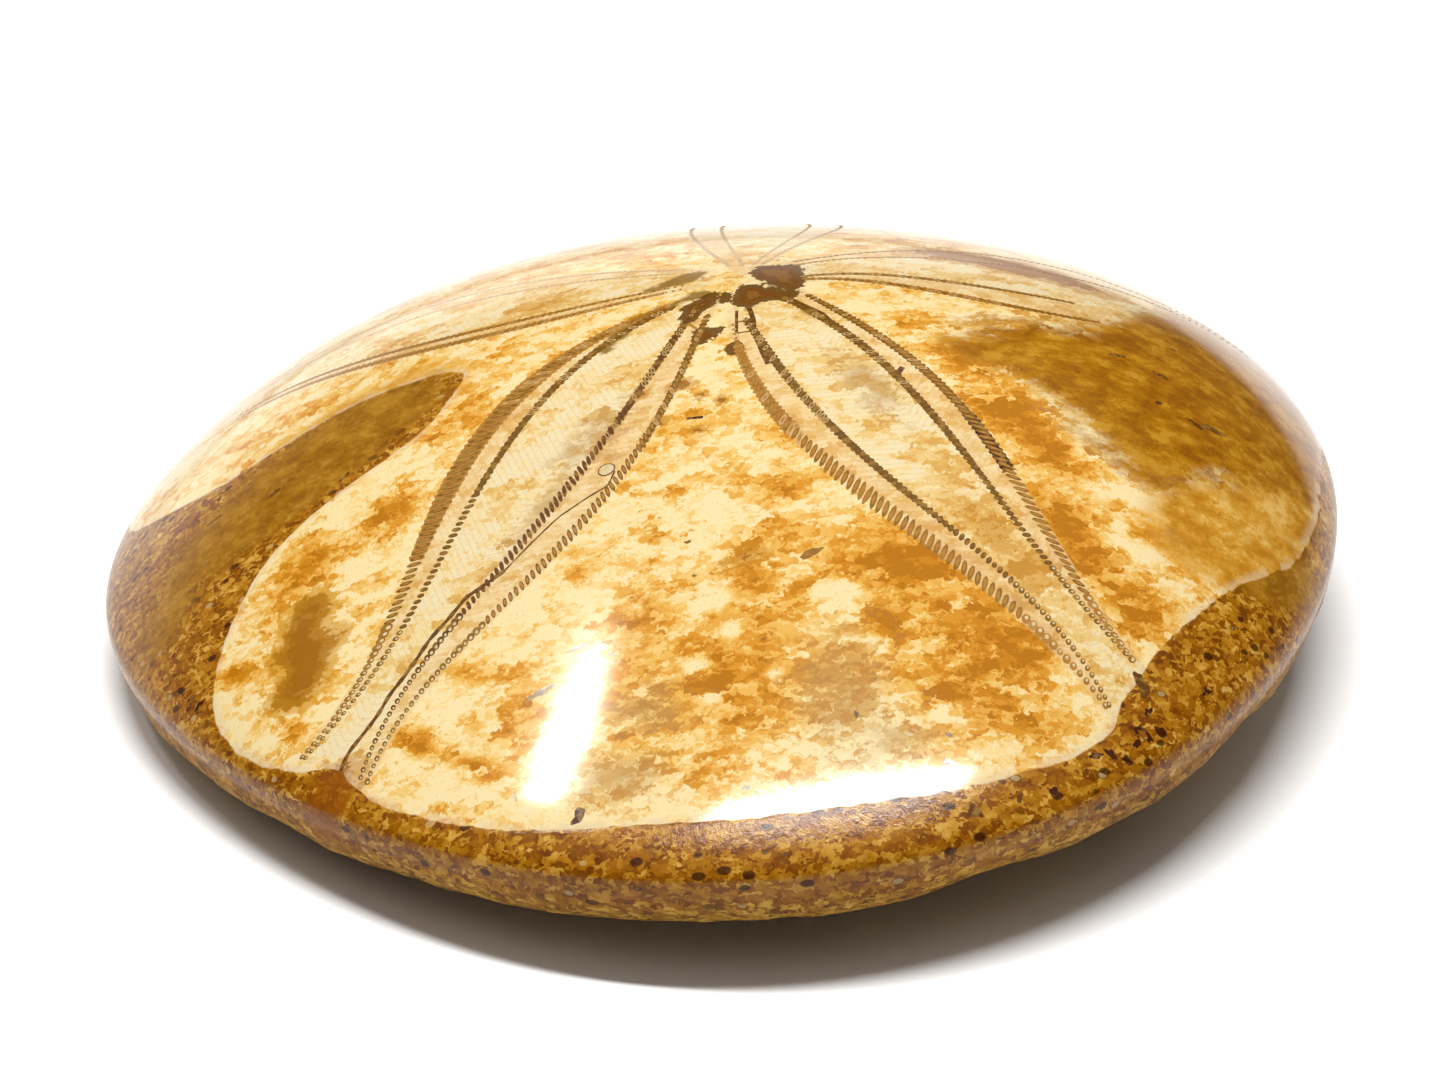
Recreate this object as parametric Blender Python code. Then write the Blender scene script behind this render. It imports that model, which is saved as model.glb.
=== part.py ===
"""Fossil sea urchin: the stone cast of a low, domed urchin, about 85 mm across, polished on top.

Metres, +Z up. It rests on z = 0, the origin is under the middle of its outline, and the end
that pointed backwards in the living animal is at -Y. The fossil is one piece of stone, so
it is one object: a turned blank whose points are then moved to the form of the test.
"""

from math import atan2, cos, exp, hypot, pi, radians, sin

import bmesh
import bpy
from mathutils import Vector, noise

# Outline, seen from above. The apex is the middle of the five petals, a little off centre.
RADIUS = 0.042  # apex to margin, on average
OUTLINE_WAVES = ((1, -0.043, 0.029), (2, -0.043, -0.008), (3, -0.016, 0.009), (4, 0.010, 0.000))
APEX_X, APEX_Y = 0.0025, -0.0008

# Upper side, from the margin up
MARGIN_HEIGHT = 0.0068  # the widest line of the test above the table
MARGIN_LEAN = 0.0022  # it lies higher on the +X side and lower on the other
SHOULDER_RISE, SHOULDER_POWER = 0.0039, 2.43
DOME_RISE, DOME_POWER = 0.0128, 1.87
DOME_FULLER_X, DOME_FULLER_Y = 0.17, 0.24  # added to the power towards +X and +Y
DOME_WARP_COS, DOME_WARP_SIN = 0.0012, -0.0009  # a slight crush across the dome, from burial

# Flank, from the margin down to where the shell turns under
FLANK_DROP = 0.0036
FLANK_TUCK = 0.066  # share of the radius
CHIPS = ((-74, 0.0030, 0.0009), (-46, 0.0026, 0.0011), (-30, 0.0022, 0.0008), (148, 0.0028, 0.0008))

# Underside: swollen cushions between five shallow food grooves that run to the mouth
MOUTH_Y = 0.0040  # from the apex axis
MOUTH_RADIUS, MOUTH_DEPTH = 0.0031, 0.0022
MOUTH_CORNERS, CORNER_REACH = 5, 0.12
PIT_FLOOR, PIT_RIM = 0.5, 1.3  # shares of the mouth's radius
LIP_SWELL, LIP_FROM_MOUTH, LIP_WIDTH = 0.0007, 1.7, 0.6  # the last two in mouth radii
HOLLOW_RADIUS, HOLLOW_RISE = 0.0230, 0.0042
GROOVE_AZIMUTHS = (-129.4, -58.9, 8.5, 86.0, 167.5)  # degrees, the same as the petals
GROOVE_HALF_WIDTH, GROOVE_RISE = 0.0032, 0.0013
CUSHION_SWELL = 0.0006
TURN_UNDER = 0.70  # share of the edge's radius where the underside leaves the table
GROOVES_FADE, CUSHIONS_FADE, CHIPS_FADE = 0.85, 0.80, 0.85  # the same, where each starts to end
VENT_Y, VENT_HALF_WIDTH, VENT_HALF_LENGTH, VENT_DEPTH = -0.0325, 0.0024, 0.0034, 0.0013

# Unpolished stone: low lumps on the flank and the underside
LUMP_SIZE, LUMP_HEIGHT = 0.0050, 0.00022
POLISH_ENDS, ROUGH_FROM = 0.9, 0.5  # shares of the flank's height
FLAT_UP_TO, ROUGH_ABOVE = 0.0003, 0.0012  # height over the table

SEGMENTS = 104
DOME_RINGS, FLANK_RINGS, BASE_RINGS = 17, 6, 17
FLAT_ENOUGH = 0.5  # degrees between faces that count as one flat
NEARLY = 1e-5  # in the blank, whose radius is 1
ON_TABLE = 1e-7


def smooth_step(low, high, value):
    """0 below low, 1 above high, and a smooth ramp between."""
    share = min(max((value - low) / (high - low), 0.0), 1.0)
    return share * share * (3 - 2 * share)


def outline(azimuth):
    """Distance from the apex axis to the margin."""
    waves = sum(c * cos(k * azimuth) + s * sin(k * azimuth) for k, c, s in OUTLINE_WAVES)
    return RADIUS * (1 + waves)


def margin_height(azimuth):
    return MARGIN_HEIGHT + MARGIN_LEAN * cos(azimuth)


def dome_height(azimuth, share):
    """Height of the polished top at a share of the way from the apex to the margin."""
    lean = MARGIN_LEAN * cos(azimuth) * share
    shoulder = SHOULDER_RISE * (1 - share**SHOULDER_POWER) ** (1 / SHOULDER_POWER)
    power = DOME_POWER + DOME_FULLER_X * cos(azimuth) + DOME_FULLER_Y * sin(azimuth)
    dome = DOME_RISE * (1 - share**power)
    crush = DOME_WARP_COS * cos(2 * azimuth) + DOME_WARP_SIN * sin(2 * azimuth)
    return MARGIN_HEIGHT + lean + shoulder + dome + 4 * share**2 * (1 - share**2) * crush


def chip(azimuth, reach):
    """How far the lower edge is broken away, inwards."""
    loss = 0.0
    for degrees, width, depth in CHIPS:
        turn = (azimuth - radians(degrees) + pi) % (2 * pi) - pi
        loss += depth * exp(-((turn * reach / width) ** 2))
    return loss


def groove(x, y):
    """1 in the middle of a food groove and 0 on the cushions."""
    away = hypot(x, y)
    depth = 0.0
    for degrees in GROOVE_AZIMUTHS:
        turn = atan2(y, x) - radians(degrees)
        if cos(turn) > 0:
            depth = max(depth, exp(-((away * sin(turn) / GROOVE_HALF_WIDTH) ** 2)))
    return depth * smooth_step(MOUTH_RADIUS, 2 * MOUTH_RADIUS, away)


def mouth_height(x, y):
    """The five-sided mouth, sunk in the stone, and the lips between the grooves."""
    away = hypot(x, y)
    corner = cos(MOUTH_CORNERS * (atan2(y, x) - radians(GROOVE_AZIMUTHS[3])))
    reach = MOUTH_RADIUS * (1 + CORNER_REACH * corner)
    sunk = MOUTH_DEPTH * (1 - smooth_step(PIT_FLOOR, PIT_RIM, away / reach))
    lip = LIP_SWELL * exp(-(((away / MOUTH_RADIUS - LIP_FROM_MOUTH) / LIP_WIDTH) ** 2))
    return sunk - lip * (1 - corner) / 2


def base_height(azimuth, share, x, y):
    """Height of the underside, with x and y from the mouth and share 1 at its edge."""
    edge = margin_height(azimuth) - FLANK_DROP
    rim = edge * smooth_step(TURN_UNDER, 1, share)
    hollow = HOLLOW_RISE * (1 - smooth_step(0, HOLLOW_RADIUS, hypot(x, y)))
    furrow = GROOVE_RISE * groove(x, y) * (1 - smooth_step(GROOVES_FADE, 1, share))
    swell = CUSHION_SWELL * (1 - smooth_step(CUSHIONS_FADE, 1, share))
    vent_y = y + MOUTH_Y - VENT_Y
    vent = VENT_DEPTH * exp(-((x / VENT_HALF_WIDTH) ** 2) - (vent_y / VENT_HALF_LENGTH) ** 2)
    return max(rim + hollow + furrow + mouth_height(x, y) + vent - swell, 0.0)


def turned_blank():
    """A cone on a drum, of radius 1, that meet at height 1: dome above, flank and base below."""
    blank = bmesh.new()
    profile = []
    for ring in range(DOME_RINGS + 1):
        share = sin(pi / 2 * ring / DOME_RINGS)
        profile.append((share, 2 - share))
    for ring in range(1, FLANK_RINGS + 1):
        profile.append((1, 1 - ring / FLANK_RINGS))
    for ring in range(1, BASE_RINGS + 1):
        profile.append((1 - ring / BASE_RINGS, 0))
    corners = [blank.verts.new((radius, 0, height)) for radius, height in profile]
    lines = [blank.edges.new(pair) for pair in zip(corners, corners[1:])]
    bmesh.ops.spin(
        blank,
        geom=corners + lines,
        cent=(0, 0, 0),
        axis=(0, 0, 1),
        angle=2 * pi,
        steps=SEGMENTS,
        use_merge=True,
    )
    bmesh.ops.remove_doubles(blank, verts=blank.verts, dist=NEARLY)
    bmesh.ops.recalc_face_normals(blank, faces=blank.faces)
    return blank


def test_point(blank_point):
    """Where a point of the blank lies on the fossil, from the apex axis."""
    azimuth = atan2(blank_point.y, blank_point.x)
    share = min(hypot(blank_point.x, blank_point.y), 1.0)
    around = Vector((cos(azimuth), sin(azimuth), 0))
    reach = outline(azimuth)
    if blank_point.z >= 1:
        return around * reach * share + Vector((0, 0, dome_height(azimuth, share)))
    down = pi / 2 * (1 - blank_point.z)
    lower = reach * (1 - FLANK_TUCK * (1 - cos(down)))
    if blank_point.z > NEARLY:
        lower -= chip(azimuth, lower) * sin(down) ** 2
        height = margin_height(azimuth) - FLANK_DROP * sin(down)
        return around * lower + Vector((0, 0, height))
    lower -= chip(azimuth, lower) * smooth_step(CHIPS_FADE, 1, share)
    flat = around * lower * share
    mouth = MOUTH_Y * (1 - share**2)
    height = base_height(azimuth, share, flat.x, flat.y + mouth - MOUTH_Y)
    return Vector((flat.x, flat.y + mouth, height))


def lumps(point, rough):
    """Unpolished stone stands a little proud here and a little low there."""
    return rough * LUMP_HEIGHT * noise.noise(point / LUMP_SIZE)


def roughness_at(blank_point, point):
    """0 on the polished top and on the flats that it rests on, 1 on the rest."""
    if blank_point.z >= 1:
        return 0.0
    if blank_point.z > NEARLY:
        return smooth_step(POLISH_ENDS, ROUGH_FROM, blank_point.z)
    return smooth_step(FLAT_UP_TO, ROUGH_ABOVE, point.z)


def stone():
    material = bpy.data.materials.new("polished_stone")
    material.use_nodes = True
    shader = material.node_tree.nodes["Principled BSDF"]
    shader.inputs["Base Color"].default_value = (0.60, 0.36, 0.12, 1)
    shader.inputs["Roughness"].default_value = 0.25
    shader.inputs["Metallic"].default_value = 0
    return material


def fossil_urchin():
    body = turned_blank()
    for vertex in body.verts:
        place = test_point(vertex.co)
        outwards = Vector((place.x, place.y, 0)).normalized()
        place += outwards * lumps(place, roughness_at(vertex.co, place))
        vertex.co = place + Vector((APEX_X, APEX_Y, 0))
    resting = [face for face in body.faces if all(vertex.co.z < ON_TABLE for vertex in face.verts)]
    bmesh.ops.dissolve_limit(
        body,
        angle_limit=radians(FLAT_ENOUGH),
        verts=list({vertex for face in resting for vertex in face.verts}),
        edges=list({edge for face in resting for edge in face.edges}),
    )
    bmesh.ops.triangulate(body, faces=[face for face in body.faces if len(face.verts) > 4])
    bmesh.ops.recalc_face_normals(body, faces=body.faces)
    mesh = bpy.data.meshes.new("fossil_urchin")
    body.to_mesh(mesh)
    body.free()
    mesh.shade_smooth()
    mesh.materials.append(stone())
    piece = bpy.data.objects.new("fossil_urchin", mesh)
    bpy.context.scene.collection.objects.link(piece)
    return piece


for old in list(bpy.data.objects):
    bpy.data.objects.remove(old)
fossil_urchin()
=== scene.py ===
"""Looks of the fossil sea urchin: a polished cast of calcite and siltstone, its pores filled in brown.

Metres, +Z up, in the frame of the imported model. Places on the test are plan positions in
millimetres from the apex, where the five petals meet; -Y is towards the end that pointed
backwards in the living animal.
"""

from collections import namedtuple
from math import cos, hypot, pi, radians, sin

import bmesh
import bpy
import numpy as np
from mathutils import Matrix, Vector, noise


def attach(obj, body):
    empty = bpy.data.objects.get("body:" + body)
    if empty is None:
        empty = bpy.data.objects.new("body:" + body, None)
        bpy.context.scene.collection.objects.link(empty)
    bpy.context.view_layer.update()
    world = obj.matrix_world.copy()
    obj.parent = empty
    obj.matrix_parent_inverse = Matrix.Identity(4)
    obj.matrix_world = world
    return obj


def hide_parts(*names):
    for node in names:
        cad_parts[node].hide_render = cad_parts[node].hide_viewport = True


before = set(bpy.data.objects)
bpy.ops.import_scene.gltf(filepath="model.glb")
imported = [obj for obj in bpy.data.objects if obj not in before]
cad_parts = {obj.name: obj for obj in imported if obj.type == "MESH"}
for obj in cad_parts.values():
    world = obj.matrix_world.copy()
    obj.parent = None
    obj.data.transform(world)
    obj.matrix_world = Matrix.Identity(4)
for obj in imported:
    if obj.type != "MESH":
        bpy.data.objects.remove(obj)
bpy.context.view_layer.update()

# ---------------------------------------------------------------------------------------
# The cast. One stone: where the shell lay it is creamy crystalline calcite with honey stains,
# and where that is worn through it is brown siltstone. The top is ground and polished; the
# flank and the underside are as they came out of the rock.

MM = 0.001

# The form, as in the solid model: outline, upper side, flank, underside
RADIUS = 0.042
OUTLINE_WAVES = ((1, -0.043, 0.029), (2, -0.043, -0.008), (3, -0.016, 0.009), (4, 0.010, 0.000))
APEX_X, APEX_Y = 0.0025, -0.0008
MARGIN_HEIGHT, MARGIN_LEAN = 0.0068, 0.0022
SHOULDER_RISE, SHOULDER_POWER = 0.0039, 2.43
DOME_RISE, DOME_POWER = 0.0128, 1.87
DOME_FULLER_X, DOME_FULLER_Y = 0.17, 0.24
DOME_WARP_COS, DOME_WARP_SIN = 0.0012, -0.0009
FLANK_DROP, FLANK_TUCK = 0.0036, 0.066
CHIPS = ((-74, 0.0030, 0.0009), (-46, 0.0026, 0.0011), (-30, 0.0022, 0.0008), (148, 0.0028, 0.0008))
MOUTH_Y, MOUTH_RADIUS, MOUTH_DEPTH = 0.0040, 0.0031, 0.0022
MOUTH_CORNERS, CORNER_REACH = 5, 0.12
PIT_FLOOR, PIT_RIM = 0.5, 1.3  # shares of the mouth's radius
LIP_SWELL, LIP_FROM_MOUTH, LIP_WIDTH = 0.0007, 1.7, 0.6  # the last two in mouth radii
HOLLOW_RADIUS, HOLLOW_RISE = 0.0230, 0.0042
GROOVE_AZIMUTHS = (-129.4, -58.9, 8.5, 86.0, 167.5)
GROOVE_HALF_WIDTH, GROOVE_RISE, CUSHION_SWELL = 0.0032, 0.0013, 0.0006
TURN_UNDER = 0.70
GROOVES_FADE, CUSHIONS_FADE, CHIPS_FADE = 0.85, 0.80, 0.85
VENT_Y, VENT_HALF_WIDTH, VENT_HALF_LENGTH, VENT_DEPTH = -0.0325, 0.0024, 0.0034, 0.0013
LUMP_SIZE, LUMP_HEIGHT = 0.0050, 0.00022
POLISH_ENDS, ROUGH_FROM = 0.9, 0.5
FLAT_UP_TO, ROUGH_ABOVE = 0.0003, 0.0012
NEARLY = 1e-6  # in the blank, whose radius is 1
TINY = 1e-9  # keeps a length that is divided by off nought

SEGMENTS = 400
DOME_RINGS, FLANK_RINGS, BASE_RINGS = 150, 26, 54


def smooth_step(low, high, value):
    """0 below low, 1 above high, and a smooth ramp between."""
    share = np.clip((value - low) / (high - low), 0.0, 1.0)
    return share * share * (3 - 2 * share)


def outline(azimuth):
    """Distance from the apex axis to the margin."""
    waves = sum(c * np.cos(k * azimuth) + s * np.sin(k * azimuth) for k, c, s in OUTLINE_WAVES)
    return RADIUS * (1 + waves)


def margin_height(azimuth):
    """Height of the widest line of the test, which leans to one side."""
    return MARGIN_HEIGHT + MARGIN_LEAN * np.cos(azimuth)


def dome_height(azimuth, share):
    """Height of the polished top at a share of the way from the apex to the margin."""
    lean = MARGIN_LEAN * np.cos(azimuth) * share
    shoulder = SHOULDER_RISE * (1 - share**SHOULDER_POWER) ** (1 / SHOULDER_POWER)
    power = DOME_POWER + DOME_FULLER_X * np.cos(azimuth) + DOME_FULLER_Y * np.sin(azimuth)
    crush = DOME_WARP_COS * np.cos(2 * azimuth) + DOME_WARP_SIN * np.sin(2 * azimuth)
    dome = DOME_RISE * (1 - share**power) + 4 * share**2 * (1 - share**2) * crush
    return MARGIN_HEIGHT + lean + shoulder + dome


def chip(azimuth, reach):
    """How far the lower edge is broken away, inwards."""
    loss = 0.0
    for degrees, width, depth in CHIPS:
        turn = (azimuth - radians(degrees) + pi) % (2 * pi) - pi
        loss = loss + depth * np.exp(-((turn * reach / width) ** 2))
    return loss


def groove(x, y):
    """1 in the middle of a food groove and 0 on the cushions, with x and y from the mouth."""
    away = np.hypot(x, y)
    depth = np.zeros_like(x)
    for degrees in GROOVE_AZIMUTHS:
        turn = np.arctan2(y, x) - radians(degrees)
        furrow = np.exp(-((away * np.sin(turn) / GROOVE_HALF_WIDTH) ** 2))
        depth = np.maximum(depth, np.where(np.cos(turn) > 0, furrow, 0.0))
    return depth * smooth_step(MOUTH_RADIUS, 2 * MOUTH_RADIUS, away)


def mouth_height(x, y):
    """The five-sided mouth, sunk in the stone, and the lips between the grooves."""
    away = np.hypot(x, y)
    corner = np.cos(MOUTH_CORNERS * (np.arctan2(y, x) - radians(GROOVE_AZIMUTHS[3])))
    reach = MOUTH_RADIUS * (1 + CORNER_REACH * corner)
    sunk = MOUTH_DEPTH * (1 - smooth_step(PIT_FLOOR, PIT_RIM, away / reach))
    lip = LIP_SWELL * np.exp(-(((away / MOUTH_RADIUS - LIP_FROM_MOUTH) / LIP_WIDTH) ** 2))
    return sunk - lip * (1 - corner) / 2


def base_height(azimuth, share, x, y):
    """Height of the underside, with x and y from the mouth and share 1 at its edge."""
    rim = (margin_height(azimuth) - FLANK_DROP) * smooth_step(TURN_UNDER, 1, share)
    hollow = HOLLOW_RISE * (1 - smooth_step(0, HOLLOW_RADIUS, np.hypot(x, y)))
    furrow = GROOVE_RISE * groove(x, y) * (1 - smooth_step(GROOVES_FADE, 1, share))
    swell = CUSHION_SWELL * (1 - smooth_step(CUSHIONS_FADE, 1, share))
    vent_y = y + MOUTH_Y - VENT_Y
    vent = VENT_DEPTH * np.exp(-((x / VENT_HALF_WIDTH) ** 2) - (vent_y / VENT_HALF_LENGTH) ** 2)
    return np.maximum(rim + hollow + furrow + mouth_height(x, y) + vent - swell, 0.0)


def turned_blank():
    """A cone on a drum, of radius 1, that meet at height 1: dome above, flank and base below."""
    blank = bmesh.new()
    profile = []
    for ring in range(DOME_RINGS + 1):
        share = sin(pi / 2 * ring / DOME_RINGS)
        profile.append((share, 2 - share))
    for ring in range(1, FLANK_RINGS + 1):
        profile.append((1, 1 - ring / FLANK_RINGS))
    for ring in range(1, BASE_RINGS + 1):
        profile.append((1 - ring / BASE_RINGS, 0))
    corners = [blank.verts.new((radius, 0, height)) for radius, height in profile]
    lines = [blank.edges.new(pair) for pair in zip(corners, corners[1:])]
    bmesh.ops.spin(
        blank,
        geom=corners + lines,
        cent=(0, 0, 0),
        axis=(0, 0, 1),
        angle=2 * pi,
        steps=SEGMENTS,
        use_merge=True,
    )
    bmesh.ops.remove_doubles(blank, verts=blank.verts, dist=NEARLY)
    bmesh.ops.recalc_face_normals(blank, faces=blank.faces)
    return blank


def test_points(blank):
    """Where the points of the blank lie on the fossil, from the apex axis."""
    azimuth = np.arctan2(blank[:, 1], blank[:, 0])
    share = np.minimum(np.hypot(blank[:, 0], blank[:, 1]), 1.0)
    level = blank[:, 2]
    on_dome, on_base = level >= 1 - NEARLY, level < NEARLY
    down = pi / 2 * np.clip(1 - level, 0, 1)
    reach = outline(azimuth)
    lower = reach * (1 - FLANK_TUCK * (1 - np.cos(down)))
    chipped = np.where(on_base, smooth_step(CHIPS_FADE, 1, share), np.sin(down) ** 2)
    lower -= chip(azimuth, lower) * chipped
    radius = np.where(on_dome, reach, lower) * share
    x, y = radius * np.cos(azimuth), radius * np.sin(azimuth)
    mouth = np.where(on_base, MOUTH_Y * (1 - share**2), 0.0)
    flank = margin_height(azimuth) - FLANK_DROP * np.sin(down)
    base = base_height(azimuth, share, x, y + mouth - MOUTH_Y)
    z = np.where(on_dome, dome_height(azimuth, share), np.where(on_base, base, flank))
    return np.stack([x, y + mouth, z], axis=1)


def rough_share(blank, points):
    """0 on the polished top and on the flats that it rests on, 1 on the rest."""
    level = blank[:, 2]
    flank = smooth_step(POLISH_ENDS, ROUGH_FROM, level)
    base = smooth_step(FLAT_UP_TO, ROUGH_ABOVE, points[:, 2])
    return np.where(level >= 1 - NEARLY, 0.0, np.where(level > NEARLY, flank, base))


# Where the shell's calcite ends, going round from the left: in along the far side of the
# brown tongue, back along its near side, round the front edge and up the right side
CALCITE_EDGE = (
    (-41.9, 3.0), (-39.5, -0.6), (-34.5, -3.0), (-30.0, -2.7), (-25.0, -1.9), (-20.5, -2.1),
    (-17.9, -3.0), (-18.6, -5.2), (-20.2, -7.5), (-22.5, -8.9), (-25.0, -10.0), (-28.0, -11.6),
    (-30.4, -13.7), (-32.2, -17.5), (-32.8, -21.0), (-32.0, -24.2), (-30.0, -27.0), (-26.9, -29.6),
    (-24.4, -30.7), (-23.3, -32.3), (-20.6, -34.9), (-14.5, -38.2), (-6.6, -40.0), (1.4, -40.6),
    (9.5, -39.7), (15.1, -37.8), (18.4, -35.7), (19.7, -33.5), (22.9, -29.1), (27.2, -24.1),
    (31.8, -19.1), (34.4, -13.5), (36.1, -7.3), (37.6, -0.5), (38.0, 6.0),
)  # fmt: skip
# Behind, from one azimuth to the other, the calcite runs to just short of the margin
BACK_FROM, BACK_TO, BACK_STEP, BACK_SHARE = 16, 172, 8, 0.985
# Siltstone that shows through the calcite on the right
RIGHT_TONGUE = (
    (11.5, -7.6), (14.0, -6.6), (17.0, -5.6), (20.0, -4.6), (22.6, -3.0), (24.5, 0.0), (27.0, 5.0),
    (32.0, 10.5), (44.0, 14.0), (46.0, 0.0), (40.0, -8.0), (35.0, -11.5), (30.5, -14.6),
    (26.6, -17.8), (23.6, -19.2), (20.8, -17.0), (18.6, -14.2), (15.6, -11.8), (12.6, -9.8),
)  # fmt: skip
STAIN_OUTLINE = (  # the deep iron stain in the patch on the left
    (-28.2, -18.3), (-26.2, -17.7), (-25.3, -19.2), (-25.8, -20.3), (-24.5, -21.5), (-25.2, -23.0),
    (-25.9, -24.9), (-27.5, -25.3), (-29.1, -24.4), (-28.3, -23.0), (-28.9, -21.5), (-28.6, -19.8),
)  # fmt: skip
BROWN_BLOTCHES = (  # iron stains round the apex, with sharp edges
    (
        (-1.6, -0.5), (-1.9, -2.0), (-2.5, -2.7), (-3.2, -3.5), (-3.7, -3.9), (-4.0, -2.9),
        (-3.6, -1.8), (-3.1, -1.2), (-2.3, -0.7),
    ),
    (
        (0.7, 2.3), (1.2, 3.4), (2.4, 3.3), (3.7, 3.1), (4.0, 1.0), (3.8, -0.8),
        (3.0, -1.3), (2.0, -0.2), (1.0, 1.5),
    ),
    (
        (-0.5, -1.8), (-0.3, -0.5), (0.2, 0.2), (1.1, 0.0), (1.5, -0.8), (2.4, -0.7), (2.8, -1.7),
        (3.5, -1.4), (3.6, -1.8), (2.9, -2.6), (2.1, -2.5), (1.3, -2.5), (0.8, -2.8), (0.3, -3.2),
        (0.1, -2.9), (-0.4, -2.6),
    ),
    ((-3.3, -5.5), (-2.8, -4.8), (-2.0, -5.0), (-1.3, -5.2), (-1.6, -5.8), (-2.2, -6.3), (-2.8, -6.4)),
    ((-1.2, -7.7), (-0.9, -7.2), (-0.4, -7.1), (-0.2, -7.6), (-0.4, -8.1), (-0.9, -8.2)),
    ((-1.3, -1.8), (-1.2, -0.8), (-0.9, -0.8), (-0.8, -1.7), (-1.1, -2.0)),
)  # fmt: skip
OLIVE_BLOTCHES = (  # the same, paler
    (
        (-1.6, -0.4), (-2.4, -1.3), (-3.3, -1.3), (-4.5, -1.7), (-5.6, -2.2), (-6.5, -2.5),
        (-6.7, -1.9), (-5.6, -1.3), (-4.3, -0.7), (-3.3, 0.1), (-2.4, 0.2),
    ),
    (
        (-9.0, -4.8), (-8.6, -3.3), (-7.9, -2.4), (-7.0, -1.8), (-6.7, -2.5), (-7.2, -3.8),
        (-7.9, -4.7), (-8.6, -5.3),
    ),
    ((2.9, -2.4), (3.6, -3.4), (4.3, -4.2), (4.8, -4.6), (5.3, -5.9), (4.4, -5.3), (3.2, -3.6)),
    (
        (-6.5, 1.8), (-5.2, 2.6), (-3.6, 3.6), (-2.2, 3.8), (-2.1, 3.0), (-3.3, 1.7),
        (-4.9, 1.4), (-6.2, 1.3),
    ),
)  # fmt: skip

Blot = namedtuple("Blot", "x y half_length half_width degrees amount")
HONEY_AREAS = (  # where the calcite is most stained
    Blot(-2, -32, 9, 6, 10, 1.0), Blot(9, -27, 7, 4, -30, 1.6), Blot(12, -32, 6, 6, 0, 1.7),
    Blot(-0.4, -26.2, 2.6, 1.6, -70, 1.9), Blot(8.6, -27.2, 3.4, 2.2, -30, 2.0),
    Blot(6.8, -30.4, 2.8, 1.6, -50, 1.7), Blot(-6.4, -27.4, 3.4, 1.8, 10, 1.7),
    Blot(-1.6, -34.8, 5.0, 1.8, 0, 1.4), Blot(11.2, -33.4, 3.2, 2.2, 40, 2.0),
    Blot(1, -22, 4, 1.5, 60, 0.6), Blot(3, -17, 4, 1.6, -50, 0.9), Blot(-10.4, -22.6, 2.4, 1.2, 40, 1.0),
    Blot(13.5, -10, 4, 2.2, -30, 2.5), Blot(16.6, -16.6, 6, 2.8, -55, 2.4),
    Blot(18, -24, 6, 2.4, -60, 2.1), Blot(14.4, -25.0, 6, 2.4, -60, 1.5),
    Blot(-22, -13.5, 3.4, 2.0, 15, 1.4), Blot(-28, -16, 3.4, 2.6, 50, 1.3),
    Blot(-27, -22, 4.4, 3.2, 90, 1.2), Blot(-31, -21, 2.0, 0.8, -20, 1.4),
    Blot(-27.4, -26.6, 1.4, 1.1, 0, 1.5), Blot(-19, -9, 3.0, 2.0, 40, 0.8),
    Blot(-5.5, -15, 3, 3, 60, 0.5), Blot(-16.5, -27.5, 4, 1.0, -25, 0.9),
    Blot(-19.4, -31.4, 2.4, 0.8, -48, 1.6), Blot(-16.1, -34.0, 2.6, 0.8, -42, 1.6),
    Blot(10, -6, 2.5, 1.5, 0, 1.0), Blot(24, -23, 4, 1.4, -20, 1.1), Blot(21, -27.5, 3, 2.5, -40, 1.5),
    Blot(-14, -31, 2.5, 1.2, 0, 0.7), Blot(-12, 12, 16, 8, 30, 0.4), Blot(14, 14, 12, 7, -30, 0.3),
)  # fmt: skip
BROWN_STAINS = (  # iron stains, most of them small
    Blot(-4.1, -10.2, 0.9, 0.6, 10, 0.7), Blot(-2.9, -11.7, 0.5, 0.3, 20, 0.7),
    Blot(-1.7, -12.4, 0.4, 0.4, 0, 0.7), Blot(-5.4, -13.0, 0.5, 0.4, 0, 0.6),
    Blot(-3.0, -14.6, 0.6, 0.3, 0, 0.6), Blot(-6.6, -10.2, 0.5, 0.3, 0, 0.6),
    Blot(13.6, -9.2, 2.0, 1.1, -30, 0.7), Blot(17.5, 5.4, 8.0, 2.2, -14, 1.3),
    Blot(-0.7, -24.8, 1.2, 0.5, 10, 0.4), Blot(15.2, -8.0, 1.5, 0.6, -20, 0.5),
    Blot(-27.4, -22.2, 2.4, 0.9, 75, 0.5), Blot(-25.2, -32.2, 2.6, 1.8, 30, 1.2),
)  # fmt: skip
LILAC_TINTS_AND_PAINTED_REFLECTIONS = (  # thin places that let the grey filling through, in and near the petals; the four at the front, by the bright reflections, are a painted reflection: grey patches mirrored in the polish
    Blot(-9.6, -13.0, 4.0, 1.6, 52, 1.0), Blot(-12.4, -17.2, 5.0, 1.0, 52, 0.9),
    Blot(7.4, -12.6, 4.5, 1.5, -62, 0.9), Blot(4.2, -34.4, 4.6, 3.2, 90, 1.0),
    Blot(6.4, -36.8, 3.2, 1.4, -15, 0.9), Blot(-6.8, -33.3, 3.0, 1.6, -10, 0.9),
    Blot(-8.2, -36.8, 3.2, 2.0, 0, 1.0), Blot(20.5, -16.8, 4.0, 0.9, -40, 1.0),
    Blot(15.5, -5.2, 4.0, 0.8, 12, 0.9), Blot(2.4, 1.4, 2.0, 3.0, 0, 0.6),
)  # fmt: skip
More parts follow.
